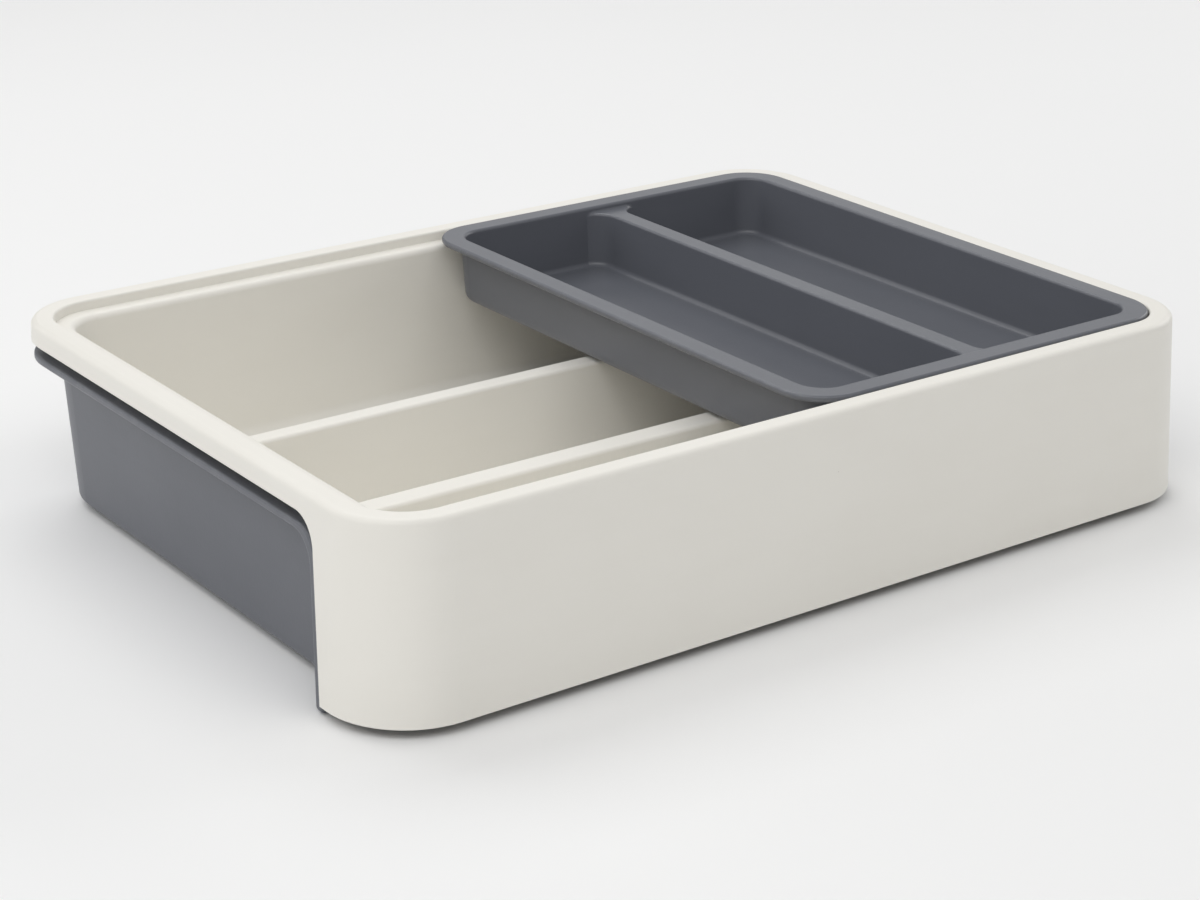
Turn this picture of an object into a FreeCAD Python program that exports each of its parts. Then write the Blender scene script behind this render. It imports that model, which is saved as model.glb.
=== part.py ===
import FreeCAD, Part
import math
import os

os.makedirs("parts", exist_ok=True)

# Sizes in mm. X runs along the length, Y from the tall near wall to the far side, Z up from the table.

# Main tray: rim, band and tall near wall
length = 352.0            # over the rim, at its top
depth = 256.0             # over the rim, at its top
height = 70.8             # rim top above the table
corner_radius = 26.5      # rim corner, outside
skirt_draft = 3.25        # degrees, the outer faces widen downwards
skirt_gap = 3.8           # lower edge of the tall wall above the table
wall = 2.2                # moulded wall of the main tray
rim_width = 8.2
rim_round = 2.4           # outer edge of the rim
rim_inner_round = 0.9
ledge_drop = 3.7          # ledge below the rim
ledge_width = 6.8
ledge_round = 2.6
band_height = 7.8         # rim band left above the cut-away ends and far side
cut_setback = 37.5        # cut-away edge behind the near face, at the band
cut_lean = 6.5            # degrees, the cut-away edge runs nearer towards the table
cut_radius = 11.0
cut_edge_round = 0.5      # outer edge along the cut-away

# Main tray: bowl and compartments, widths at the tops of the dividers
bowl_draft = 3.3
bowl_corner = 13.0        # at the ledge
bowl_floor_round = 5.0
near_width = 55.0         # compartment along the near wall
near_divider = 9.8
middle_width = 65.1
far_divider = 8.2
divider_round = 1.5

# Slide tray
slide_border = 9.0        # flange round the compartments
slide_slot = 71.5         # width of each compartment
slide_divider = 8.0
slide_divider_drop = 2.5  # divider top below the flange top
slide_divider_round = 1.1
slide_lap = 0.3           # how far the corner rounds run into the end walls
slide_wall = 2.0
slide_floor = 2.2         # floor thickness
slide_plate = 2.4         # flange thickness
slide_rise = 0.6          # flange top above the rim
slide_height = 26.5
slide_draft = 4.0
slide_corner = 10.0       # compartment corner at the flange
slide_outer_corner = 18.0
slide_floor_round = 2.2
slide_edge_round = 1.0    # outer edges of the flange
slide_inner_round = 1.3   # inner edge of the flange
slide_side_clearance = 0.5
slide_end_clearance = 0.5
slide_under_clearance = 0.9
runner_width = 2.4        # rib under the flange that rides on the ledge
runner_setback = 20.0
runner_clearance = 0.2

# Extension tray
lip_drop = 4.35           # lip below the rim band
lip_height = 2.65
lip_inset = 1.0           # lip behind the outer faces of the main tray
lip_round = 0.9           # outer edges of the lip
end_gap = 0.7             # between the main tray's cut-away edge and the upright flange
end_flange = 3.3          # upright flange along the near edge
end_recess = 6.5          # end wall behind the rim edge, at the underside of the lip
far_recess = 8.0
extension_wall = 2.0
extension_corner = 28.0
extension_draft = 3.3
extension_lift = 2.5      # underside of the floor above the table
extension_bottom_round = 3.0
rail_lift = 0.2           # foot rail above the table
rail_round = 2.0
nest_clearance = 0.4      # bowl underside above the extension floor
travel = 150.0            # how far the extension pulls out

# Pull-out stops between the two end walls
stop_height = 7.0
stop_thickness = 4.0
stop_drop = 2.0           # stop top below the lip's top
stop_setback = 2.2        # behind the near edge of the extension
stop_clearance = 0.8
stop_reserve = 1.0        # left between the stops at full travel

# Foot pads
foot_diameter = 9.0
foot_height = 2.0
foot_sunk = 0.7           # part of the pad held in its socket
foot_fit = 0.15
foot_edge = 0.5
foot_boss = 2.0           # boss wall round the socket
main_foot_in = 45.0       # from the end of the rim
main_foot_back = 22.5     # from the near face
extension_foot_in = 52.0
extension_foot_near = 54.0
extension_foot_far = 40.0 # from the far face

# Derived places
skirt_slope = math.tan(math.radians(skirt_draft))
bowl_slope = math.tan(math.radians(bowl_draft))
slide_slope = math.tan(math.radians(slide_draft))
extension_slope = math.tan(math.radians(extension_draft))
cut_slope = math.tan(math.radians(cut_lean))
near_flare = (height - skirt_gap) * skirt_slope
far_flare = band_height * skirt_slope
near_face = near_flare - (depth + near_flare + far_flare) / 2
far_face = near_face + depth
right_face = length / 2
left_face = -right_face
band_bottom = height - band_height
ledge_top = height - ledge_drop
bowl_inset = rim_width + ledge_width
slide_top = height + slide_rise
slide_bottom = slide_top - slide_height
slide_divider_top = slide_top - slide_divider_drop
slide_x1 = right_face - rim_width - slide_end_clearance
slide_x0 = slide_x1 - 2 * slide_border - 2 * slide_slot - slide_divider
slide_y0 = near_face + rim_width + slide_side_clearance
slide_y1 = far_face - rim_width - slide_side_clearance
divider_top = slide_bottom - slide_under_clearance
extension_floor = extension_lift + extension_wall
bowl_bottom = extension_floor + nest_clearance
bowl_floor = bowl_bottom + wall
lip_top = band_bottom - lip_drop
lip_bottom = lip_top - lip_height
beyond = length + depth


def rounded_wire(x0, x1, y0, y1, radius, z):
    """Closed outline of a rectangle with rounded corners."""
    turns = [(x1, y1, 0.0), (x0, y1, 90.0), (x0, y0, 180.0), (x1, y0, 270.0)]
    edges = []
    ends = []
    for x, y, start in turns:
        cx = x - radius if x == x1 else x + radius
        cy = y - radius if y == y1 else y + radius
        points = []
        for angle in (start, start + 45.0, start + 90.0):
            a = math.radians(angle)
            points.append(FreeCAD.Vector(cx + radius * math.cos(a), cy + radius * math.sin(a), z))
        edges.append(Part.Arc(points[0], points[1], points[2]).toShape())
        ends.append((points[0], points[2]))
    sides = []
    for i in range(4):
        sides.append(edges[i])
        sides.append(Part.makeLine(ends[i][1], ends[(i + 1) % 4][0]))
    return Part.Wire(sides)


def tapered(x0, x1, y0, y1, radius, z_from, z_to, slope):
    """Rounded block given at z_from that widens by slope per unit of height towards z_to."""
    grow = abs(z_to - z_from) * slope
    first = rounded_wire(x0, x1, y0, y1, radius, z_from)
    second = rounded_wire(x0 - grow, x1 + grow, y0 - grow, y1 + grow, radius + grow, z_to)
    return Part.makeLoft([first, second], True, True)


def edges_at(solid, z):
    """Edges that lie flat at height z."""
    found = []
    for edge in solid.Edges:
        area = edge.BoundBox
        if abs(area.ZMin - z) < 1e-4 and abs(area.ZMax - z) < 1e-4:
            found.append(edge)
    return found


def rounded_at(solid, z, radius):
    """The solid with its edges at height z rounded."""
    return solid.makeFillet(radius, edges_at(solid, z))


def rounded_within(solid, z, x0, x1, y0, y1, radius):
    """The solid with those of its edges at height z rounded that lie in a rectangle."""
    reach = 1e-3
    found = []
    for edge in edges_at(solid, z):
        area = edge.BoundBox
        along = area.XMin > x0 - reach and area.XMax < x1 + reach
        across = area.YMin > y0 - reach and area.YMax < y1 + reach
        if along and across:
            found.append(edge)
    return solid.makeFillet(radius, found)


def shared_edges(solid, first, second):
    """Edges of a solid that lie on the surfaces of both other solids."""
    found = []
    for edge in solid.Edges:
        middle = Part.Vertex(edge.valueAt((edge.FirstParameter + edge.LastParameter) / 2))
        gap = max(middle.distToShape(first.Shells[0])[0], middle.distToShape(second.Shells[0])[0])
        if gap < 1e-4:
            found.append(edge)
    return found


def rounded_inset(solid, z, inset, radius):
    """The solid with its edges at height z rounded, as far as they lie inset from the rim edge."""
    return rounded_within(solid, z, left_face + inset, right_face - inset,
                          near_face + inset, far_face - inset, radius)


def cylinder(x, y, z_from, z_to, diameter):
    """Upright cylinder between two heights."""
    return Part.makeCylinder(diameter / 2, z_to - z_from, FreeCAD.Vector(x, y, z_from))


def box(x0, x1, y0, y1, z0, z1):
    """Block between two corners."""
    return Part.makeBox(x1 - x0, y1 - y0, z1 - z0, FreeCAD.Vector(x0, y0, z0))


def outer_block(inset, z_bottom, z_top):
    """Space inside the outer faces of the main tray, set in by a distance."""
    grow = (height - z_top) * skirt_slope - inset
    return tapered(left_face - grow, right_face + grow, near_face - grow, far_face + grow,
                   corner_radius + grow, z_top, z_bottom, skirt_slope)


def cut_away(edge_gap, top_gap, radius):
    """Space beyond the slanted cut-away edge and below the rim band, set in by the gaps."""
    top = band_bottom - top_gap
    low = -height
    near_high = near_face + cut_setback + edge_gap - top_gap * cut_slope
    near_low = near_high - (top - low) * cut_slope
    points = [
        FreeCAD.Vector(-beyond, near_high, top),
        FreeCAD.Vector(-beyond, near_low, low),
        FreeCAD.Vector(-beyond, far_face + beyond, low),
        FreeCAD.Vector(-beyond, far_face + beyond, top),
    ]
    face = Part.Face(Part.makePolygon(points + points[:1]))
    block = face.extrude(FreeCAD.Vector(2 * beyond, 0, 0))
    corner = []
    for edge in block.Edges:
        middle = edge.CenterOfMass
        if abs(middle.y - near_high) < 1e-4 and abs(middle.z - top) < 1e-4:
            corner.append(edge)
    return block.makeFillet(radius, corner)


def bowl_block(offset, z_bottom, floor_round):
    """Bowl space of the main tray below the ledge, grown by an offset for the outside of its wall."""
    inset = bowl_inset - offset
    block = tapered(left_face + inset, right_face - inset, near_face + inset, far_face - inset,
                    bowl_corner + offset, ledge_top, z_bottom, -bowl_slope)
    return rounded_at(block, z_bottom, floor_round)


def slots(offset, z_bottom, floor_round):
    """Compartments of the bowl; sides given past the bowl wall end on the wall."""
    wall_at_top = bowl_inset + (ledge_top - divider_top) * bowl_slope
    past = 4 * bowl_corner
    x0 = left_face - past - offset
    near_from = near_face + wall_at_top
    near_to = near_from + near_width
    middle_from = near_to + near_divider
    middle_to = middle_from + middle_width
    far_from = middle_to + far_divider
    spaces = [
        (near_from - past, near_to),
        (middle_from, middle_to),
        (far_from, far_face + past),
    ]
    bowl = bowl_block(offset, z_bottom, floor_round)
    made = []
    for y0, y1 in spaces:
        space = tapered(x0, -x0, y0 - offset, y1 + offset,
                        bowl_corner + offset, divider_top, z_bottom, -bowl_slope)
        made.append(rounded_at(space, z_bottom, floor_round).common(bowl))
    return made


def skirt():
    """Rim top, band and tall near wall, cut away at the ends and the far side."""
    outside = rounded_at(outer_block(0.0, skirt_gap, height), height, rim_round)
    inside = outer_block(wall, skirt_gap - wall, height - wall)
    inside = rounded_at(inside, height - wall, max(rim_round - wall, wall / 4))
    cut = cut_away(0.0, 0.0, cut_radius)
    shell = outside.cut(inside).cut(cut)
    return shell.makeFillet(cut_edge_round, shared_edges(shell, outside, cut))


def rim_opening(offset, z_bottom, z_top):
    """Space inside the rim, grown by an offset for the outside of the step below it."""
    inset = rim_width - offset
    return tapered(left_face + inset, right_face - inset, near_face + inset, far_face - inset,
                   corner_radius - inset, z_bottom, z_top, 0.0)


def main_foot_places():
    """Pad centres under the near edge of the main tray."""
    y = near_face + main_foot_back
    return [(left_face + main_foot_in, y), (right_face - main_foot_in, y)]


def extension_foot_places():
    """Pad centres under the extension tray, near pair first."""
    places = []
    for y in (near_face + extension_foot_near, far_face - extension_foot_far):
        for x in (left_face + extension_foot_in, right_face - extension_foot_in):
            places.append((x, y))
    return places


def foot_pad(place):
    """Soft pad with a rounded lower edge."""
    pad = cylinder(place[0], place[1], 0.0, foot_height, foot_diameter)
    return rounded_at(pad, 0.0, foot_edge).Solids[0]


def boss(place, z_to):
    """Boss that carries a pad."""
    return cylinder(place[0], place[1], foot_height - foot_sunk, z_to, foot_diameter + 2 * foot_boss)


def socket(place):
    """Shallow seat for a pad."""
    return cylinder(place[0], place[1], 0.0, foot_height, foot_diameter + 2 * foot_fit)


def near_edge(z):
    """Near edge of the extension tray at height z."""
    return near_face + cut_setback + end_gap - (band_bottom - z) * cut_slope


def bowl_wall_out(z):
    """Outer side of the bowl's end wall at height z, in from the rim edge."""
    return bowl_inset - wall + (ledge_top - z) * bowl_slope


def end_wall_in(z):
    """Inner side of the extension's end wall at height z, in from the rim edge."""
    return end_recess + extension_wall + (lip_bottom - z) * extension_slope


def stops(at_main):
    """A pair of pull-out stops, on the bowl's end walls or on the extension's."""
    z1 = lip_top - stop_drop
    z0 = z1 - stop_height
    y0 = near_edge(z1) + stop_setback
    if at_main:
        y0 = y0 + stop_thickness + travel + stop_reserve
        reach = end_wall_in(z0) + stop_clearance
        root = bowl_wall_out(z0) + wall / 2
    else:
        reach = end_wall_in(z1) - extension_wall / 2
        root = bowl_wall_out(z1) - stop_clearance
    left = box(left_face + reach, left_face + root, y0, y0 + stop_thickness, z0, z1)
    right = box(right_face - root, right_face - reach, y0, y0 + stop_thickness, z0, z1)
    return [left, right]


def main_tray():
    """Rim, tall wall, ledge and divided bowl in one moulding."""
    body = skirt()
    frame = rim_opening(wall, ledge_top - wall, height - wall / 2)
    upper = bowl_block(wall, divider_top - wall, wall)
    lower = slots(wall, bowl_bottom, bowl_floor_round + wall)
    bosses = [boss(place, bowl_floor + wall) for place in main_foot_places()]
    body = body.fuse([frame, upper] + lower + stops(True) + bosses)
    opening = rim_opening(0.0, ledge_top, height + wall)
    space = bowl_block(0.0, bowl_floor, bowl_floor_round)
    over = space.common(box(-beyond, beyond, -beyond, beyond, divider_top, ledge_top))
    body = body.cut([opening, over] + slots(0.0, bowl_floor, bowl_floor_round))
    body = body.cut([socket(place) for place in main_foot_places()]).removeSplitter()
    body = rounded_inset(body, height, rim_width, rim_inner_round)
    body = rounded_inset(body, ledge_top, bowl_inset, ledge_round)
    body = rounded_inset(body, divider_top, bowl_inset, divider_round)
    return body.Solids[0]


def extension_tray():
    """Tub round the bowl, open at the near edge, with its lip, upright flanges and foot rail."""
    keep = cut_away(end_gap, lip_drop, cut_radius)
    clear = cut_away(end_gap + end_flange, lip_drop + lip_height, cut_radius)
    x0 = left_face + end_recess
    y0 = near_face - 2 * extension_corner
    y1 = far_face - far_recess

    def tub(offset, z_bottom, floor_round):
        low = (lip_bottom - z_bottom) * extension_slope + offset
        block = tapered(x0 + low, -x0 - low, y0 + low, y1 - low, extension_corner - low,
                        z_bottom, lip_top, extension_slope)
        return rounded_at(block, z_bottom, floor_round)

    outside = tub(0.0, extension_lift, extension_bottom_round)
    inside = tub(extension_wall, extension_floor, extension_bottom_round - extension_wall / 2)
    lip = rounded_at(outer_block(lip_inset, rail_lift, lip_top), rail_lift, rail_round)
    flange = lip.common(keep.cut(clear))
    outer_edges = shared_edges(flange, lip, clear) + shared_edges(flange, lip, keep)
    flange = flange.makeFillet(lip_round, outer_edges)
    body = outside.common(keep).fuse(flange)
    bosses = [boss(place, extension_floor) for place in extension_foot_places()]
    body = body.fuse(bosses).cut(inside)
    body = body.fuse(stops(False))
    body = body.cut([socket(place) for place in extension_foot_places()])
    return body.removeSplitter().Solids[0]


def slide_tub(x0, x1, lap, offset, z_bottom, floor_round):
    """Space in the slide tray from x0 to x1, with its corners run into the end walls by a lap."""
    inset = slide_border - lap - offset
    block = tapered(x0 - offset, x1 + offset, slide_y0 + inset, slide_y1 - inset,
                    slide_corner + offset, slide_top, z_bottom, -slide_slope)
    return rounded_at(block, z_bottom, floor_round)


def slide_pocket(offset, z_bottom, floor_round):
    """Whole space inside the flange of the slide tray."""
    x0 = slide_x0 + slide_border
    x1 = slide_x1 - slide_border
    return slide_tub(x0, x1, 0.0, offset, z_bottom, floor_round)


def slide_slots(offset, z_bottom, floor_round):
    """Both compartments of the slide tray; sides given past the pocket end on its wall."""
    past = 4 * slide_corner
    x0 = slide_x0 + slide_border
    x1 = slide_x1 - slide_border
    pocket = slide_pocket(offset, z_bottom, floor_round)
    made = []
    for first, last in ((x0 - past, x0 + slide_slot), (x1 - slide_slot, x1 + past)):
        space = slide_tub(first, last, slide_lap, offset, z_bottom, floor_round)
        made.append(space.common(pocket))
    return made


def runners(z_top):
    """Ribs under the flange of the slide tray that ride on the ledges."""
    made = []
    for y in (slide_y0 + runner_width / 2, slide_y1 - 3 * runner_width / 2):
        made.append(box(slide_x0 + runner_setback, slide_x1 - runner_setback, y, y + runner_width,
                        ledge_top + runner_clearance, z_top))
    return made


def slide_tray():
    """Upper tray with two compartments and a lower divider, hung by its flange."""
    plate_bottom = slide_top - slide_plate
    plate_middle = slide_top - slide_plate / 2
    plate = tapered(slide_x0, slide_x1, slide_y0, slide_y1, slide_outer_corner, plate_bottom, slide_top, 0.0)
    plate = rounded_at(plate, slide_top, slide_edge_round)
    plate = rounded_at(plate, plate_bottom, slide_edge_round)
    below = box(-beyond, beyond, -beyond, beyond, -beyond, plate_middle)
    above = box(-beyond, beyond, -beyond, beyond, slide_divider_top, beyond)
    cap_bottom = slide_divider_top - slide_wall
    outside = slide_slots(slide_wall, slide_bottom, slide_floor_round + slide_wall)
    outside.append(slide_pocket(slide_wall, cap_bottom, slide_wall))
    body = plate.fuse([solid.common(below) for solid in outside] + runners(plate_middle))
    inside = slide_slots(0.0, slide_bottom + slide_floor, slide_floor_round)
    inside.append(slide_pocket(0.0, cap_bottom, slide_wall).common(above))
    body = body.cut(inside).removeSplitter()
    sides = [slide_x0 + slide_border, slide_x1 - slide_border]
    ends = [slide_y0 + slide_border, slide_y1 - slide_border]
    body = rounded_within(body, slide_top, *sides, *ends, slide_inner_round)
    body = rounded_within(body, slide_divider_top, *sides, *ends, slide_divider_round)
    return body.Solids[0]


def build():
    """Make every piece and write it to its own file."""
    parts = {
        "main_tray": main_tray(),
        "extension_tray": extension_tray(),
        "slide_tray": slide_tray(),
    }
    for side, place in zip(("left", "right"), main_foot_places()):
        parts["main_foot_" + side] = foot_pad(place)
    for number, place in enumerate(extension_foot_places(), 1):
        parts["extension_foot_%d" % number] = foot_pad(place)
    for name, shape in parts.items():
        shape.exportStep("parts/" + name + ".step")
        print(name, len(shape.Solids), shape.isValid(), round(shape.Volume / 1000, 2), "cm3")


build()
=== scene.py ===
"""Looks of an extending cutlery tray: satin plastics, foot pads and a plain studio around them."""

import logging
import math
from dataclasses import dataclass
from enum import Enum
from typing import Sequence

import bmesh
import bpy
from mathutils import Matrix, Vector


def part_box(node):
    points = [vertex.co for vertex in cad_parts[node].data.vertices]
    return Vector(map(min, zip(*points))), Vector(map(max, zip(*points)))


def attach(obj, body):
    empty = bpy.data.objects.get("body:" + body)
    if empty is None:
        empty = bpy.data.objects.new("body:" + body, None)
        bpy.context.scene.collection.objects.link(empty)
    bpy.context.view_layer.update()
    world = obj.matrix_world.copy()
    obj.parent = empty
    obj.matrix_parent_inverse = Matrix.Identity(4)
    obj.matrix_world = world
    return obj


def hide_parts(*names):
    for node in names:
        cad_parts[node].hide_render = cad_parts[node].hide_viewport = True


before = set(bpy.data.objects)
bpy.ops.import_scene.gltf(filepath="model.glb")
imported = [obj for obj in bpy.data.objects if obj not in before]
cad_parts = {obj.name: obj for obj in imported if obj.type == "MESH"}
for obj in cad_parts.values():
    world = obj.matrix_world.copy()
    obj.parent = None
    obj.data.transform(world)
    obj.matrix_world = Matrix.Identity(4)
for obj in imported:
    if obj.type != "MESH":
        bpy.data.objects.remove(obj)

log = logging.getLogger("cutlery_tray")

Colour = tuple[float, float, float]
Point = tuple[float, float, float]
Profile = Sequence[tuple[float, float]]
Fade = tuple[float, float]

MM = 0.001
UNSTRETCHED: Point = (1.0, 1.0, 1.0)


class Body(Enum):
    """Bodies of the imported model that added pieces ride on."""

    MAIN = "main"
    EXTENSION = "extension"


class Slot(Enum):
    """Names of two material slots; no added piece here takes one."""

    GREY = "grey_plastic"
    RUBBER = "foot_rubber"


class Sketch:
    """A node tree under construction, with short calls that add and join nodes."""

    def __init__(self, tree: bpy.types.NodeTree) -> None:
        """Start on an existing tree."""
        self.tree = tree

    def add(self, kind: str, inputs: dict[str, object] | None = None,
            **settings: object) -> bpy.types.Node:
        """Add a node.

        Args:
            kind: Node type without its "ShaderNode" prefix.
            inputs: Value or output socket for each named input.
            **settings: Properties of the node itself.

        Returns:
            The new node.
        """
        node = self.tree.nodes.new("ShaderNode" + kind)
        for name, value in settings.items():
            setattr(node, name, value)
        for name, value in (inputs or {}).items():
            self.feed(node.inputs[name], value)
        return node

    def feed(self, socket: bpy.types.NodeSocket, value: object) -> None:
        """Link an output socket to an input, or set the input's value.

        Args:
            socket: The input.
            value: Output socket or value; three numbers make a colour input opaque.
        """
        if isinstance(value, bpy.types.NodeSocket):
            self.tree.links.new(value, socket)
        elif isinstance(value, tuple) and len(value) == 3 and socket.type == "RGBA":
            socket.default_value = (*value, 1.0)
        else:
            socket.default_value = value

    def math(self, operation: str, first: object, second: object = 0.0,
             third: object = 0.0) -> bpy.types.NodeSocket:
        """Add a math node.

        Args:
            operation: Blender's name of the operation.
            first: Value or socket.
            second: Value or socket.
            third: Value or socket, for an operation that takes three.

        Returns:
            The result.
        """
        node = self.add("Math", operation=operation)
        for socket, value in zip(node.inputs, (first, second, third)):
            self.feed(socket, value)
        return node.outputs[0]

    def ramp(self, value: object, low: object, high: object) -> bpy.types.NodeSocket:
        """Turn a value into a smooth mask.

        Args:
            value: Value or socket.
            low: Where the mask is 0.
            high: Where the mask is 1.

        Returns:
            The mask.
        """
        node = self.add("MapRange", interpolation_type="SMOOTHSTEP", clamp=True)
        self.feed(node.inputs["Value"], value)
        self.feed(node.inputs["From Min"], low)
        self.feed(node.inputs["From Max"], high)
        return node.outputs["Result"]

    def mix(self, factor: object, first: object, second: object) -> bpy.types.NodeSocket:
        """Mix two colours.

        Args:
            factor: Share of the second colour.
            first: Colour or socket.
            second: Colour or socket.

        Returns:
            The mixed colour.
        """
        node = self.add("Mix", data_type="RGBA")
        colours = [socket for socket in node.inputs if socket.type == "RGBA"]
        self.feed(node.inputs[0], factor)
        self.feed(colours[0], first)
        self.feed(colours[1], second)
        return [socket for socket in node.outputs if socket.type == "RGBA"][0]

    def place(self, stretch: Point = UNSTRETCHED) -> bpy.types.NodeSocket:
        """Read the point on the piece.

        Args:
            stretch: Factor along each axis.

        Returns:
            The point in metres, stretched.
        """
        point = self.add("TexCoord").outputs["Object"]
        if stretch == UNSTRETCHED:
            return point
        return self.add("Mapping", {"Vector": point, "Scale": stretch}).outputs["Vector"]


class FinishSketch(Sketch):
    """The node tree of a new material, with its surface shader."""

    def __init__(self, name: str, colour: Colour) -> None:
        """Make the material.

        Args:
            name: Name of the material.
            colour: Its colour where only one plain colour is shown.
        """
        self.made = bpy.data.materials.new(name)
        self.made.use_nodes = True
        self.made.diffuse_color = (*colour, 1.0)
        super().__init__(self.made.node_tree)
        self.shader = self.tree.nodes["Principled BSDF"]

    def surface(self, inputs: dict[str, object]) -> None:
        """Give the named inputs of the surface shader their values or sockets."""
        for name, value in inputs.items():
            self.feed(self.shader.inputs[name], value)

    def relief(self, height: bpy.types.NodeSocket, depth: float) -> bpy.types.NodeSocket:
        """Return the normal of a relief that is as deep as given, in metres."""
        inputs = {"Height": height, "Strength": 1.0, "Distance": depth}
        return self.add("Bump", inputs).outputs["Normal"]


class Group(Sketch):
    """A shader node group with named inputs and outputs."""

    def __init__(self, name: str, inputs: dict[str, float | Colour],
                 outputs: dict[str, str]) -> None:
        """Make the group and its sockets.

        Args:
            name: Name of the group.
            inputs: Default of each named input; three numbers make a colour.
            outputs: Kind, Float or Color, of each named output.
        """
        super().__init__(bpy.data.node_groups.new(name, "ShaderNodeTree"))
        for label, default in inputs.items():
            kind = "NodeSocketColor" if isinstance(default, tuple) else "NodeSocketFloat"
            socket = self.tree.interface.new_socket(label, in_out="INPUT", socket_type=kind)
            socket.default_value = (*default, 1.0) if isinstance(default, tuple) else default
        for label, kind in outputs.items():
            self.tree.interface.new_socket(label, in_out="OUTPUT", socket_type="NodeSocket" + kind)
        self.source = self.tree.nodes.new("NodeGroupInput")
        self.sink = self.tree.nodes.new("NodeGroupOutput")

    def given(self, label: str) -> bpy.types.NodeSocket:
        """Return the socket of a named input."""
        return self.source.outputs[label]

    def put_out(self, label: str, socket: bpy.types.NodeSocket) -> None:
        """Link a socket to a named output."""
        self.tree.links.new(socket, self.sink.inputs[label])


@dataclass
class Effects:
    """Surface effects that several finishes share, each a node group built once.

    A fade holds the values where a mask is 0 and where it is 1.
    """

    pit_scale: float = 0.45             # pits along a length, against the grain
    streak_scale: float = 5.0           # streaks along a length, against the clouds
    streak_stretch: Point = (0.25, 0.25, 1.6)
    cloud_share: float = 0.7
    streak_share: float = 0.3
    flow_fade: Fade = (0.38, 0.66)
    edge_fade: Fade = (0.96, 0.62)
    patch_scale: float = 140.0          # patches of the rubbed and highlit edges in a metre
    patch_fade: Fade = (0.42, 0.68)
    least_rub: float = 0.25             # share of the rub and painted highlight left between the patches
    corner_fade: Fade = (0.8, 0.25)
    drift_scale: float = 45.0           # drifts of corner dust and shade in a metre
    drift_fade: Fade = (0.25, 0.75)
    probe_rays: int = 8                 # rays that look for an edge or a corner
    speck_core: float = 0.4             # share of a speck's radius with its full colour
    noise_middle: float = 0.5
    polish: float = 0.25                # roughness lost where rubbed bare

    def __post_init__(self) -> None:
        """Build every group."""
        self.grain = self._grain()
        self.flow = self._flow()
        self.rub_and_highlight = self._rub_and_highlight()
        self.dust_and_shade = self._dust_and_shade()
        self.specks = self._specks()
        self.satin = self._satin()

    @staticmethod
    def use(sketch: Sketch, group: Group, inputs: dict[str, object]) -> bpy.types.Node:
        """Place a group in a material.

        Args:
            sketch: The material's node tree.
            group: The group to place.
            inputs: Value or socket for each named input.

        Returns:
            The group's node.
        """
        node = sketch.tree.nodes.new("ShaderNodeGroup")
        node.node_tree = group.tree
        for label, value in inputs.items():
            sketch.feed(node.inputs[label], value)
        return node

    def _grain(self) -> Group:
        """Make the fine grain that an eroded mould leaves.

        Returns:
            The group, which puts out a height.
        """
        group = Group("mould_grain", {"Size": 0.4 * MM, "Pits": 0.4}, {"Height": "Float"})
        scale = group.math("DIVIDE", 1.0, group.given("Size"))
        point = group.place()
        cloud = group.add("TexNoise", {
            "Vector": point, "Scale": scale, "Detail": 3.0, "Roughness": 0.6})
        coarse = group.math("MULTIPLY", scale, self.pit_scale)
        cells = group.add("TexVoronoi", {"Vector": point, "Scale": coarse}, feature="SMOOTH_F1")
        pits = group.math("MULTIPLY", cells.outputs["Distance"], group.given("Pits"))
        group.put_out("Height", group.math("ADD", cloud.outputs["Fac"], pits))
        return group

    def _flow(self) -> Group:
        """Make the faint clouds and streaks that the melt leaves in the colour.

        Returns:
            The group, which puts out a colour.
        """
        inputs = {"Base": (0.8, 0.8, 0.8), "Streak": (0.7, 0.7, 0.7),
                  "Size": 60.0 * MM, "Amount": 0.3}
        group = Group("melt_flow", inputs, {"Color": "Color"})
        scale = group.math("DIVIDE", 1.0, group.given("Size"))
        clouds = group.add("TexNoise", {
            "Vector": group.place(), "Scale": scale, "Detail": 4.0, "Roughness": 0.5,
            "Distortion": 0.6})
        fine = group.math("MULTIPLY", scale, self.streak_scale)
        streaks = group.add("TexNoise", {
            "Vector": group.place(self.streak_stretch), "Scale": fine, "Detail": 2.0})
        both = group.math("ADD", group.math("MULTIPLY", clouds.outputs["Fac"], self.cloud_share),
                          group.math("MULTIPLY", streaks.outputs["Fac"], self.streak_share))
        mask = group.math("MULTIPLY", group.ramp(both, *self.flow_fade), group.given("Amount"))
        group.put_out("Color", group.mix(mask, group.given("Base"), group.given("Streak")))
        return group

    def _rub_and_highlight(self) -> Group:
        """Make lighter outer edges, partly rub from handling and partly a painted highlight, broken
        up as handling leaves them.

        Returns:
            The group, which puts out a colour and a mask.
        """
        inputs = {"Color": (0.5, 0.5, 0.5), "Rubbed_And_Highlit": (0.8, 0.8, 0.8),
                  "Reach": 1.5 * MM, "Amount": 0.3}
        group = Group("edge_rub_and_highlight", inputs, {"Color": "Color", "Mask": "Float"})
        edge = group.add("AmbientOcclusion", {"Distance": group.given("Reach")}, inside=True,
                         only_local=True, samples=self.probe_rays)
        near = group.ramp(edge.outputs["AO"], *self.edge_fade)
        patches = group.add("TexNoise", {
            "Vector": group.place(), "Scale": self.patch_scale, "Detail": 5.0, "Roughness": 0.7})
        broken = group.ramp(patches.outputs["Fac"], *self.patch_fade)
        worn = group.math("MULTIPLY_ADD", broken, 1.0 - self.least_rub, self.least_rub)
        # Painted highlight and rub: outer edges are lightened towards the rubbed colour.
        mask = group.math("MULTIPLY", group.math("MULTIPLY", near, worn), group.given("Amount"))
        group.put_out("Color", group.mix(mask, group.given("Color"), group.given("Rubbed_And_Highlit")))
        group.put_out("Mask", mask)
        return group

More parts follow.
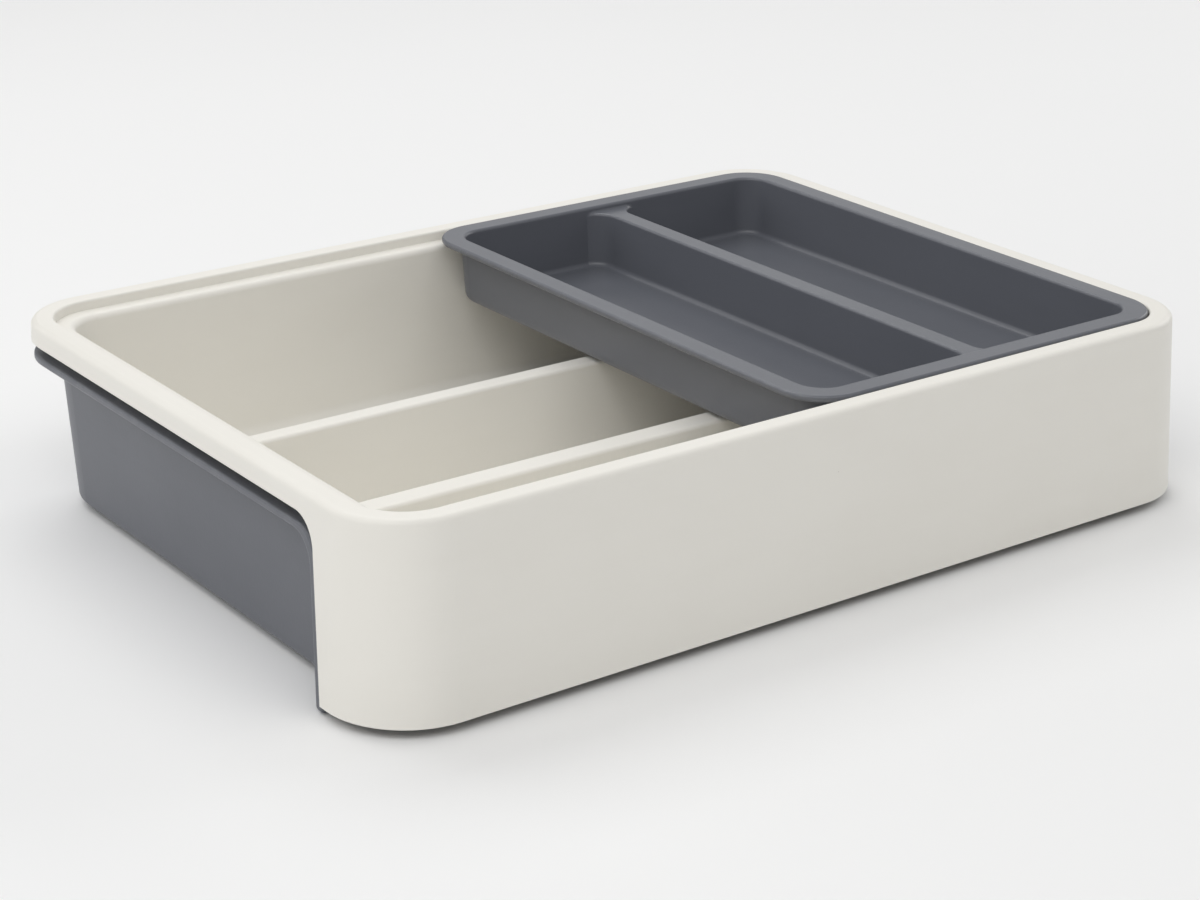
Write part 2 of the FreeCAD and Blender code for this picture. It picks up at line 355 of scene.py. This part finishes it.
    def _dust_and_shade(self) -> Group:
        """Make the tint of inner corners: dust, and painted shade where the tint is darker than the
        finish.

        Returns:
            The group, which puts out a colour.
        """
        inputs = {"Color": (0.5, 0.5, 0.5), "Dust_And_Shade": (0.4, 0.4, 0.35),
                  "Reach": 12.0 * MM, "Amount": 0.2}
        group = Group("corner_dust_and_shade", inputs, {"Color": "Color"})
        corner = group.add("AmbientOcclusion", {"Distance": group.given("Reach")},
                           only_local=True, samples=self.probe_rays)
        near = group.ramp(corner.outputs["AO"], *self.corner_fade)
        drift = group.add("TexNoise", {
            "Vector": group.place(), "Scale": self.drift_scale, "Detail": 4.0})
        mask = group.math("MULTIPLY", near, group.ramp(drift.outputs["Fac"], *self.drift_fade))
        mask = group.math("MULTIPLY", mask, group.given("Amount"))
        # Corner tint: dust, and painted shade in the corners where the tint is darker.
        group.put_out("Color", group.mix(mask, group.given("Color"), group.given("Dust_And_Shade")))
        return group

    def _specks(self) -> Group:
        """Make a few small specks and nicks, scattered over the surface.

        Returns:
            The group, which puts out a colour and a mask.
        """
        inputs = {"Color": (0.5, 0.5, 0.5), "Speck": (0.2, 0.2, 0.2), "Spacing": 22.0 * MM,
                  "Radius": 0.35 * MM, "Share": 0.25, "Amount": 0.5}
        group = Group("specks", inputs, {"Color": "Color", "Mask": "Float"})
        scale = group.math("DIVIDE", 1.0, group.given("Spacing"))
        cells = group.add("TexVoronoi", {"Vector": group.place(), "Scale": scale})
        away = group.math("MULTIPLY", cells.outputs["Distance"], group.given("Spacing"))
        core = group.math("MULTIPLY", group.given("Radius"), self.speck_core)
        dot = group.ramp(away, group.given("Radius"), core)
        lot = group.add("SeparateColor", {"Color": cells.outputs["Color"]}).outputs["Red"]
        chosen = group.math("LESS_THAN", lot, group.given("Share"))
        mask = group.math("MULTIPLY", group.math("MULTIPLY", dot, chosen), group.given("Amount"))
        group.put_out("Color", group.mix(mask, group.given("Color"), group.given("Speck")))
        group.put_out("Mask", mask)
        return group

    def _satin(self) -> Group:
        """Make a roughness that varies as handled satin does, shinier on the rubbed and highlit
        edges.

        Returns:
            The group, which puts out a roughness.
        """
        inputs = {"Roughness": 0.45, "Spread": 0.1, "Size": 25.0 * MM, "Rubbed_And_Highlit": 0.0}
        group = Group("satin_roughness", inputs, {"Roughness": "Float"})
        scale = group.math("DIVIDE", 1.0, group.given("Size"))
        clouds = group.add("TexNoise", {
            "Vector": group.place(), "Scale": scale, "Detail": 5.0, "Roughness": 0.65})
        swing = group.math("SUBTRACT", clouds.outputs["Fac"], self.noise_middle)
        swing = group.math("MULTIPLY", swing, group.given("Spread"))
        rough = group.math("ADD", group.given("Roughness"), swing)
        polish = group.math("MULTIPLY", group.given("Rubbed_And_Highlit"), self.polish)
        group.put_out("Roughness", group.math("SUBTRACT", rough, polish))
        return group


@dataclass(frozen=True)
class MouldedPlastic:
    """A moulded plastic: its colours, grain and gloss, with sizes in metres."""

    name: str
    colour: Colour
    streak: Colour
    # edge colour: rub from handling and a painted highlight
    rubbed_and_highlit: Colour
    # corner tint: dust on the greys, painted shade on the cream
    dust_and_shade: Colour
    speck: Colour
    roughness: float
    grain_size: float
    grain_depth: float
    flow_amount: float
    rub_and_highlight_amount: float
    dust_and_shade_amount: float
    speck_share: float
    shine: float = 0.5

    def material(self, effects: Effects) -> bpy.types.Material:
        """Build the finish.

        Args:
            effects: The shared node groups.

        Returns:
            The new material.
        """
        sketch = FinishSketch(self.name, self.colour)
        flow = effects.use(sketch, effects.flow, {
            "Base": self.colour, "Streak": self.streak, "Amount": self.flow_amount})
        # Corner tint: dust, and painted corner shade where darker than the base.
        dust_and_shade = effects.use(sketch, effects.dust_and_shade, {
            "Color": flow.outputs["Color"], "Dust_And_Shade": self.dust_and_shade, "Amount": self.dust_and_shade_amount})
        specks = effects.use(sketch, effects.specks, {
            "Color": dust_and_shade.outputs["Color"], "Speck": self.speck, "Share": self.speck_share})
        # Outer edges lightened: rub from handling and a painted highlight.
        rub_and_highlight = effects.use(sketch, effects.rub_and_highlight, {
            "Color": specks.outputs["Color"], "Rubbed_And_Highlit": self.rubbed_and_highlit, "Amount": self.rub_and_highlight_amount})
        satin = effects.use(sketch, effects.satin, {
            "Roughness": self.roughness, "Rubbed_And_Highlit": rub_and_highlight.outputs["Mask"]})
        grain = effects.use(sketch, effects.grain, {"Size": self.grain_size})
        sketch.surface({
            "Base Color": rub_and_highlight.outputs["Color"],
            "Roughness": satin.outputs["Roughness"],
            "Normal": sketch.relief(grain.outputs["Height"], self.grain_depth),
            "Specular IOR Level": self.shine,
        })
        return sketch.made


@dataclass(frozen=True)
class PadRubber:
    """The soft rubber of the foot pads, with sizes in metres."""

    name: str = "pad_rubber"
    colour: Colour = (0.055, 0.055, 0.058)
    bloom: Colour = (0.12, 0.12, 0.12)
    bloom_size: float = 6.0 * MM
    bloom_amount: float = 0.5
    dust_and_shade: Colour = (0.20, 0.19, 0.17)
    dust_reach: float = 2.0 * MM
    dust_and_shade_amount: float = 0.6
    roughness: float = 0.78
    roughness_size: float = 3.0 * MM
    pore_size: float = 0.25 * MM
    pore_depth: float = 0.05 * MM
    pore_share: float = 0.8
    shine: float = 0.3

    def material(self, effects: Effects) -> bpy.types.Material:
        """Build the finish.

        Args:
            effects: The shared node groups.

        Returns:
            The new material.
        """
        sketch = FinishSketch(self.name, self.colour)
        flow = effects.use(sketch, effects.flow, {
            "Base": self.colour, "Streak": self.bloom, "Size": self.bloom_size,
            "Amount": self.bloom_amount})
        dust_and_shade = effects.use(sketch, effects.dust_and_shade, {
            "Color": flow.outputs["Color"], "Dust_And_Shade": self.dust_and_shade, "Reach": self.dust_reach,
            "Amount": self.dust_and_shade_amount})
        satin = effects.use(sketch, effects.satin, {
            "Roughness": self.roughness, "Size": self.roughness_size})
        grain = effects.use(sketch, effects.grain, {
            "Size": self.pore_size, "Pits": self.pore_share})
        sketch.surface({
            "Base Color": dust_and_shade.outputs["Color"],
            "Roughness": satin.outputs["Roughness"],
            "Normal": sketch.relief(grain.outputs["Height"], self.pore_depth),
            "Specular IOR Level": self.shine,
        })
        return sketch.made


@dataclass(frozen=True)
class PaperFloor:
    """The pale matt paper that the tray stands on, with sizes in metres."""

    name: str = "studio_paper"
    colour: Colour = (0.93, 0.93, 0.928)
    cloud: Colour = (0.915, 0.915, 0.912)
    cloud_size: float = 0.8
    cloud_amount: float = 0.5
    roughness: float = 0.9
    shine: float = 0.1

    def material(self, effects: Effects) -> bpy.types.Material:
        """Build the finish.

        Args:
            effects: The shared node groups.

        Returns:
            The new material.
        """
        sketch = FinishSketch(self.name, self.colour)
        flow = effects.use(sketch, effects.flow, {
            "Base": self.colour, "Streak": self.cloud, "Size": self.cloud_size,
            "Amount": self.cloud_amount})
        sketch.surface({
            "Base Color": flow.outputs["Color"],
            "Roughness": self.roughness,
            "Specular IOR Level": self.shine,
        })
        return sketch.made


CREAM = MouldedPlastic(
    name="cream_satin",
    colour=(0.890, 0.868, 0.808),
    streak=(0.868, 0.844, 0.780),
    # lighter edges: rub plus a painted highlight
    rubbed_and_highlit=(0.92, 0.905, 0.87),
    # darker corner tint: painted shade in the inner corners
    dust_and_shade=(0.70, 0.69, 0.63),
    speck=(0.45, 0.42, 0.36),
    roughness=0.42,
    grain_size=0.45 * MM,
    grain_depth=0.012 * MM,
    flow_amount=0.5,
    rub_and_highlight_amount=0.35,
    dust_and_shade_amount=0.18,
    speck_share=0.12,
)

GREY_GRAINED = MouldedPlastic(
    name="grey_grained",
    colour=(0.132, 0.139, 0.160),
    streak=(0.119, 0.126, 0.146),
    # lighter edges: rub plus a painted highlight
    rubbed_and_highlit=(0.27, 0.28, 0.29),
    dust_and_shade=(0.20, 0.20, 0.19),
    speck=(0.26, 0.26, 0.27),
    roughness=0.40,
    grain_size=0.7 * MM,
    grain_depth=0.035 * MM,
    flow_amount=0.6,
    rub_and_highlight_amount=0.8,
    dust_and_shade_amount=0.15,
    speck_share=0.10,
)

GREY_SATIN = MouldedPlastic(
    name="grey_satin",
    colour=(0.130, 0.137, 0.158),
    streak=(0.118, 0.125, 0.144),
    # lighter edges: rub plus a painted highlight
    rubbed_and_highlit=(0.27, 0.28, 0.30),
    dust_and_shade=(0.19, 0.19, 0.18),
    speck=(0.26, 0.26, 0.27),
    roughness=0.33,
    grain_size=0.5 * MM,
    grain_depth=0.015 * MM,
    flow_amount=0.5,
    rub_and_highlight_amount=0.6,
    dust_and_shade_amount=0.12,
    speck_share=0.10,
)


def add_ring(mesh: bmesh.types.BMesh, centre: Point, radius: float,
             segments: int) -> list[bmesh.types.BMVert]:
    """Add a level ring of points, or one point where the radius is zero.

    Args:
        mesh: The mesh to add to.
        centre: Middle of the ring.
        radius: Radius of the ring.
        segments: Steps round the axis.

    Returns:
        The new points in order.
    """
    x, y, z = centre
    ring = []
    for step in range(1 if radius == 0.0 else segments):
        angle = 2.0 * math.pi * step / segments
        place = (x + radius * math.cos(angle), y + radius * math.sin(angle), z)
        ring.append(mesh.verts.new(place))
    return ring


def lathe(name: str, profile: Profile, places: Sequence[Point],
          segments: int = 48) -> bpy.types.Object:
    """Turn one closed profile at each place.

    Args:
        name: Name of the new object.
        profile: Radius and height of each point, from the axis below to the axis above.
        places: Where the profile's own zero stands.
        segments: Steps round the axis.

    Returns:
        The new object, with smooth faces.
    """
    mesh = bmesh.new()
    for x, y, z in places:
        rings = [add_ring(mesh, (x, y, z + height), radius, segments) for radius, height in profile]
        for low, high in zip(rings, rings[1:]):
            for step in range(segments):
                after = (step + 1) % segments
                if len(low) == 1:
                    corners = [low[0], high[after], high[step]]
                elif len(high) == 1:
                    corners = [low[step], low[after], high[0]]
                else:
                    corners = [low[step], low[after], high[after], high[step]]
                mesh.faces.new(corners).smooth = True
    bmesh.ops.recalc_face_normals(mesh, faces=mesh.faces)
    data = bpy.data.meshes.new(name)
    mesh.to_mesh(data)
    mesh.free()
    made = bpy.data.objects.new(name, data)
    bpy.context.scene.collection.objects.link(made)
    return made


def dress(node: str, material: bpy.types.Material) -> bpy.types.Object:
    """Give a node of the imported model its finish.

    Args:
        node: Name of the node.
        material: The finish.

    Returns:
        The node's object.
    """
    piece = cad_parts[node]
    for place in piece.material_slots:
        place.material = material
    if not piece.material_slots:
        piece.data.materials.append(material)
    return piece


@dataclass
class MouldMarks:
    """Round witness marks of the mould's pins, and the trimmed gate, on an underside.

    The gate's outline, from its middle out, gives shares of its radius, and depths as
    shares of how far the pins' marks stand proud.
    """

    name: str
    body: Body
    slot: Slot
    underside: float
    pins: Sequence[tuple[float, float]]
    gate: tuple[float, float]
    pin_radius: float = 3.0 * MM
    pin_land: float = 0.35 * MM         # raised ring round the pin's dish
    pin_bevel: float = 0.2 * MM
    pin_edge: float = 0.1 * MM
    dish_share: float = 0.3             # depth of the dish's middle
    edge_share: float = 0.6             # depth of the land's outer edge
    gate_radius: float = 2.2 * MM
    gate_outline: Profile = (
        (0.0, 2.2), (0.28, 2.1), (0.40, 1.4), (0.48, 0.3), (0.90, 0.4), (1.0, 0.0))
    proud: float = 0.16 * MM
    root: float = 0.6 * MM

    def build(self, material: bpy.types.Material) -> list[bpy.types.Object]:
        """Make the marks and fix them to their body.

        Args:
            material: The finish of the tray that they are on.

        Returns:
            The pin marks and the gate.
        """
        land = self.pin_radius - self.pin_land
        dish = -self.dish_share * self.proud
        pin = [(0.0, dish), (land - self.pin_bevel, dish), (land, -self.proud),
               (self.pin_radius - self.pin_edge, -self.proud),
               (self.pin_radius, -self.edge_share * self.proud),
               (self.pin_radius, self.root), (0.0, self.root)]
        gate = [(share * self.gate_radius, -depth * self.proud)
                for share, depth in self.gate_outline]
        gate += [(self.gate_radius, self.root), (0.0, self.root)]
        made = [
            lathe(self.name + "_pins", pin, [(x, y, self.underside) for x, y in self.pins]),
            lathe(self.name + "_gate", gate, [(*self.gate, self.underside)]),
        ]
        for piece in made:
            piece.data.materials.append(material)
            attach(piece, self.body.value)
        return made


@dataclass
class FootPads:
    """Soft pads under a tray, each with a rounded rim and a hollow in its underside."""

    body: Body
    nodes: Sequence[str]
    edge: float = 0.5 * MM
    edge_steps: int = 6
    hollow: float = 0.35 * MM
    hollow_share: float = 0.5           # radius of the hollow, against the pad's
    lip_share: float = 0.1              # depth left at the hollow's rim

    def build(self, material: bpy.types.Material) -> list[bpy.types.Object]:
        """Make a pad in place of each node.

        Args:
            material: The rubber finish.

        Returns:
            The pads.
        """
        made = []
        for node in self.nodes:
            low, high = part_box(node)
            centre = (low + high) / 2.0
            profile = self._profile((high.x - low.x) / 2.0, high.z - low.z)
            pad = lathe(node + "_pad", profile, [(centre.x, centre.y, low.z)])
            pad.data.materials.append(material)
            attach(pad, self.body.value)
            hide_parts(node)
            made.append(pad)
        return made

    def _profile(self, radius: float, height: float) -> Profile:
        """Draw half of a pad's section.

        Args:
            radius: Outer radius of the pad.
            height: Height of the pad.

        Returns:
            Radius and height of each point, from the hollow's middle to the top's middle.
        """
        inner = radius * self.hollow_share
        points = [(0.0, self.hollow), (inner - self.hollow, self.hollow),
                  (inner, self.lip_share * self.hollow), (inner + self.hollow, 0.0)]
        for step in range(self.edge_steps + 1):
            turn = math.pi / 2.0 * step / self.edge_steps
            out = radius - self.edge + self.edge * math.sin(turn)
            points.append((out, self.edge - self.edge * math.cos(turn)))
        points += [(radius, height), (0.0, height)]
        return points


@dataclass
class MainTray:
    """The cream tray with its rim, tall near wall and divided bowl, and its two pads."""

    node: str = "main_tray"
    feet: Sequence[str] = ("main_foot_left", "main_foot_right")

    def build(self, plastic: bpy.types.Material,
              rubber: bpy.types.Material) -> list[bpy.types.Object]:
        """Dress the tray and add its pads.

        Args:
            plastic: The cream finish.
            rubber: The pad finish.

        Returns:
            Every piece of the sub-assembly.
        """
        pads = FootPads(Body.MAIN, self.feet)
        return [dress(self.node, plastic), *pads.build(rubber)]


@dataclass
class ExtensionTray:
    """The grey tub that pulls out from under the main tray, with its four pads."""

    node: str = "extension_tray"
    feet: Sequence[str] = (
        "extension_foot_1", "extension_foot_2", "extension_foot_3", "extension_foot_4")
    underside: float = 2.5 * MM
    pin_columns: Sequence[float] = (-0.135, -0.050, 0.050, 0.135)
    pin_rows: Sequence[float] = (-0.045, 0.020, 0.085)
    gate: tuple[float, float] = (0.0, 0.020)

    def build(self, plastic: bpy.types.Material,
              rubber: bpy.types.Material) -> list[bpy.types.Object]:
        """Dress the tub and add its pads and mould marks.

        Args:
            plastic: The grained grey finish.
            rubber: The pad finish.

        Returns:
            Every piece of the sub-assembly.
        """
        pins = [(x, y) for y in self.pin_rows for x in self.pin_columns]
        marks = MouldMarks(self.node, Body.EXTENSION, Slot.GREY, self.underside, pins, self.gate)
        pads = FootPads(Body.EXTENSION, self.feet)
        return [dress(self.node, plastic), *marks.build(plastic), *pads.build(rubber)]


@dataclass
class SlideTray:
    """The small grey tray with two compartments that slides along the ledges."""

    node: str = "slide_tray"

    def build(self, plastic: bpy.types.Material) -> list[bpy.types.Object]:
        """Dress the tray, which is a single piece, and return it in a list."""
        return [dress(self.node, plastic)]


@dataclass(frozen=True)
class SoftBox:
    """A rectangular studio light: place and size in metres, power in watts."""

    name: str
    place: Point
    width: float
    depth: float
    power: float
    aim: Point = (0.0, 0.0, 0.03)

    def build(self) -> None:
        """Hang the light."""
        data = bpy.data.lights.new(self.name, "AREA")
        data.shape = "RECTANGLE"
        data.size = self.width
        data.size_y = self.depth
        data.energy = self.power
        made = bpy.data.objects.new(self.name, data)
        made.location = self.place
        towards = Vector(self.aim) - Vector(self.place)
        made.rotation_euler = towards.to_track_quat("-Z", "Y").to_euler()
        made.visible_camera = False
        bpy.context.scene.collection.objects.link(made)


@dataclass(frozen=True)
class Viewpoint:
    """The photograph's camera.

    Places are in metres, angles in degrees, the focal length in pixels of an image as wide
    as image_width, and the sensor in millimetres.
    """

    name: str = "photo_view"
    place: Point = (-0.5406, -0.7353, 0.3758)
    yaw: float = 36.16
    pitch: float = 21.46
    roll: float = -0.31
    focal: float = 2646.0
    image_width: float = 1200.0
    sensor: float = 36.0
    clip_near: float = 0.01
    clip_far: float = 50.0

    def build(self) -> None:
        """Set up the camera as the scene's own."""
        yaw, pitch, roll = (math.radians(angle) for angle in (self.yaw, self.pitch, self.roll))
        ahead = Vector((math.sin(yaw) * math.cos(pitch), math.cos(yaw) * math.cos(pitch),
                        -math.sin(pitch)))
        level = Vector((math.cos(yaw), -math.sin(yaw), 0.0))
        under = ahead.cross(level)
        right = math.cos(roll) * level + math.sin(roll) * under
        down = -math.sin(roll) * level + math.cos(roll) * under
        data = bpy.data.cameras.new(self.name)
        data.sensor_fit = "HORIZONTAL"
        data.sensor_width = self.sensor
        data.lens = self.sensor * self.focal / self.image_width
        data.clip_start = self.clip_near
        data.clip_end = self.clip_far
        made = bpy.data.objects.new(self.name, data)
        axes = Matrix((right, -down, -ahead)).transposed().to_4x4()
        made.matrix_world = Matrix.Translation(self.place) @ axes
        bpy.context.scene.collection.objects.link(made)
        bpy.context.scene.camera = made


@dataclass
class Studio:
    """Pale floor, soft light and the photograph's viewpoint."""

    floor_half: float = 30.0
    floor_drop: float = 0.1 * MM
    sky: Colour = (1.0, 1.0, 1.0)
    sky_strength: float = 0.25
    boxes: Sequence[SoftBox] = (
        SoftBox("left_box", (-1.8, -0.1, 0.7), 1.4, 1.0, 2.8),
        SoftBox("high_left_box", (-1.0, -0.4, 1.4), 1.4, 1.0, 8.2),
        SoftBox("high_front_box", (-0.2, -1.2, 1.5), 1.6, 1.0, 6.6),
        SoftBox("right_box", (1.8, 0.0, 0.8), 1.4, 1.0, 8.8),
        SoftBox("far_box", (0.1, 0.9, 1.5), 1.6, 1.0, 10.2),
        SoftBox("far_left_box", (-1.2, 1.4, 0.9), 1.4, 0.9, 4.2),
        SoftBox("sheen_box", (1.35, 1.85, 0.9), 1.8, 0.9, 3.2),
    )

    def build(self, paper: bpy.types.Material) -> None:
        """Lay the floor, light the scene and set the camera.

        Args:
            paper: The floor's finish.
        """
        self._lay_floor(paper)
        self._hang_sky()
        bpy.context.scene.view_settings.view_transform = "Standard"
        for box in self.boxes:
            box.build()
        Viewpoint().build()

    def _lay_floor(self, paper: bpy.types.Material) -> None:
        """Lay a level square of paper just under the tray.

        Args:
            paper: The floor's finish.
        """
        half = self.floor_half
        data = bpy.data.meshes.new("floor")
        corners = [(-half, -half), (half, -half), (half, half), (-half, half)]
        data.from_pydata([(x, y, -self.floor_drop) for x, y in corners], [], [(0, 1, 2, 3)])
        data.materials.append(paper)
        floor = bpy.data.objects.new("floor", data)
        bpy.context.scene.collection.objects.link(floor)

    def _hang_sky(self) -> None:
        """Surround the scene with an even, weak light."""
        world = bpy.data.worlds.new("studio_sky")
        world.use_nodes = True
        backdrop = world.node_tree.nodes["Background"]
        backdrop.inputs["Color"].default_value = (*self.sky, 1.0)
        backdrop.inputs["Strength"].default_value = self.sky_strength
        bpy.context.scene.world = world


def main() -> None:
    """Dress every sub-assembly in order, then set up the studio."""
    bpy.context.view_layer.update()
    effects = Effects()
    cream = CREAM.material(effects)
    grained = GREY_GRAINED.material(effects)
    satin = GREY_SATIN.material(effects)
    rubber = PadRubber().material(effects)
    pieces = MainTray().build(cream, rubber)
    pieces += ExtensionTray().build(grained, rubber)
    pieces += SlideTray().build(satin)
    for piece in pieces:
        log.info("%s: %d faces", piece.name, len(piece.data.polygons))
    Studio().build(PaperFloor().material(effects))


if __name__ == "__main__":
    logging.basicConfig(level=logging.INFO, format="%(name)s %(message)s")
    main()
